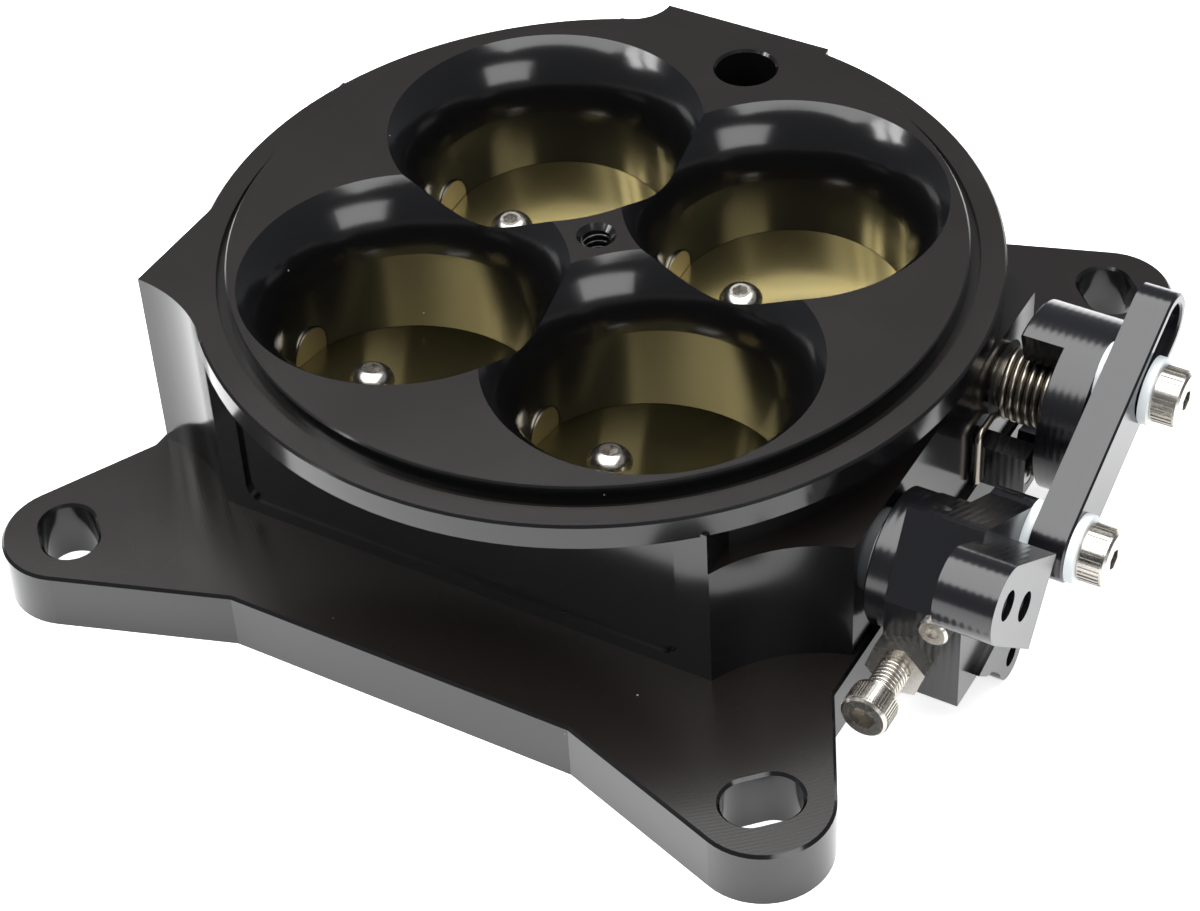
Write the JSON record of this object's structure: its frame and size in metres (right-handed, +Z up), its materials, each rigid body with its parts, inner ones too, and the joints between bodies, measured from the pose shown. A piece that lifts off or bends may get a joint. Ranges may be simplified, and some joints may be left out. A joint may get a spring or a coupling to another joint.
{
  "type": "throttle body",
  "caption": "Square-flange downdraft throttle body with four bores, paired butterfly plates on two shafts, and a side lever, link and return spring.",
  "frame": {"origin": "centre of the flange's lower face", "axes": "+X along the throttle shafts towards the linkage, +Y from the front shaft to the rear shaft, +Z up out of the bores"},
  "size_m": [0.1778, 0.163, 0.0496],
  "materials": {
    "anodised_billet": "gloss black anodised billet",
    "anodised_lever": "satin black anodised, machined",
    "brass_plate": "polished brass",
    "stainless": "stainless steel",
    "shaft_steel": "ground steel",
    "bearing_steel": "hardened bearing steel",
    "seal_rubber": "matt black rubber",
    "plug_steel": "black oxide steel",
    "nylon": "natural nylon",
    "spring_steel": "bright spring wire"
  },
  "bodies": {
    "housing": {"front_drive_bearing": "bearing_steel", "front_end_plug": "plug_steel", "front_far_bearing": "bearing_steel", "front_shaft_seal": "seal_rubber", "front_thrust_washer": "nylon", "idle_post": "anodised_lever", "idle_post_screw": "stainless", "rear_drive_bearing": "bearing_steel", "rear_end_plug": "plug_steel", "rear_far_bearing": "bearing_steel", "rear_shaft_seal": "seal_rubber", "return_spring": "spring_steel", "spring_post": "anodised_lever", "spring_post_screw": "stainless", "throttle_housing": "anodised_billet"},
    "front_shaft_assembly": {"front_lever": "anodised_lever", "front_lever_disc": "anodised_lever", "front_lever_screw": "stainless", "front_link_screw": "stainless", "front_link_washers": "nylon", "front_plate_far": "brass_plate", "front_plate_near": "brass_plate", "front_plate_screws": "stainless", "front_set_screw": "stainless", "front_shaft": "shaft_steel", "idle_jam_nut": "stainless", "idle_lock_screw": "stainless", "idle_screw": "stainless"},
    "rear_shaft_assembly": {"rear_hub": "anodised_lever", "rear_hub_screw": "stainless", "rear_link_screw": "stainless", "rear_link_washers": "nylon", "rear_plate_far": "brass_plate", "rear_plate_near": "brass_plate", "rear_plate_screws": "stainless", "rear_set_screw": "stainless", "rear_shaft": "shaft_steel"},
    "link": {"link_bar": "anodised_lever"}
  },
  "joints": [
    {"name": "front_shaft_turn", "type": "hinge", "parent": "housing", "child": "front_shaft_assembly", "pos_m": [0, -0.0238, 0.0243], "axis": [-1, 0, 0], "range_deg": [0, 75], "stiffness_Nm_per_rad": 0.03, "springref_deg": -34.38},
    {"name": "rear_shaft_turn", "type": "hinge", "parent": "housing", "child": "rear_shaft_assembly", "pos_m": [0, 0.0238, 0.0243], "axis": [1, 0, 0], "range_deg": [0, 75]},
    {"name": "link_pivot", "type": "hinge", "parent": "front_shaft_assembly", "child": "link", "pos_m": [0.0897, -0.00895, 0.0241], "axis": [1, 0, 0], "range_deg": [0, 77]}
  ],
  "couplings": [
    {"joint": "rear_shaft_turn", "follows": "front_shaft_turn", "ratio": 1},
    {"joint": "link_pivot", "follows": "front_shaft_turn", "ratio": 1.016}
  ]
}
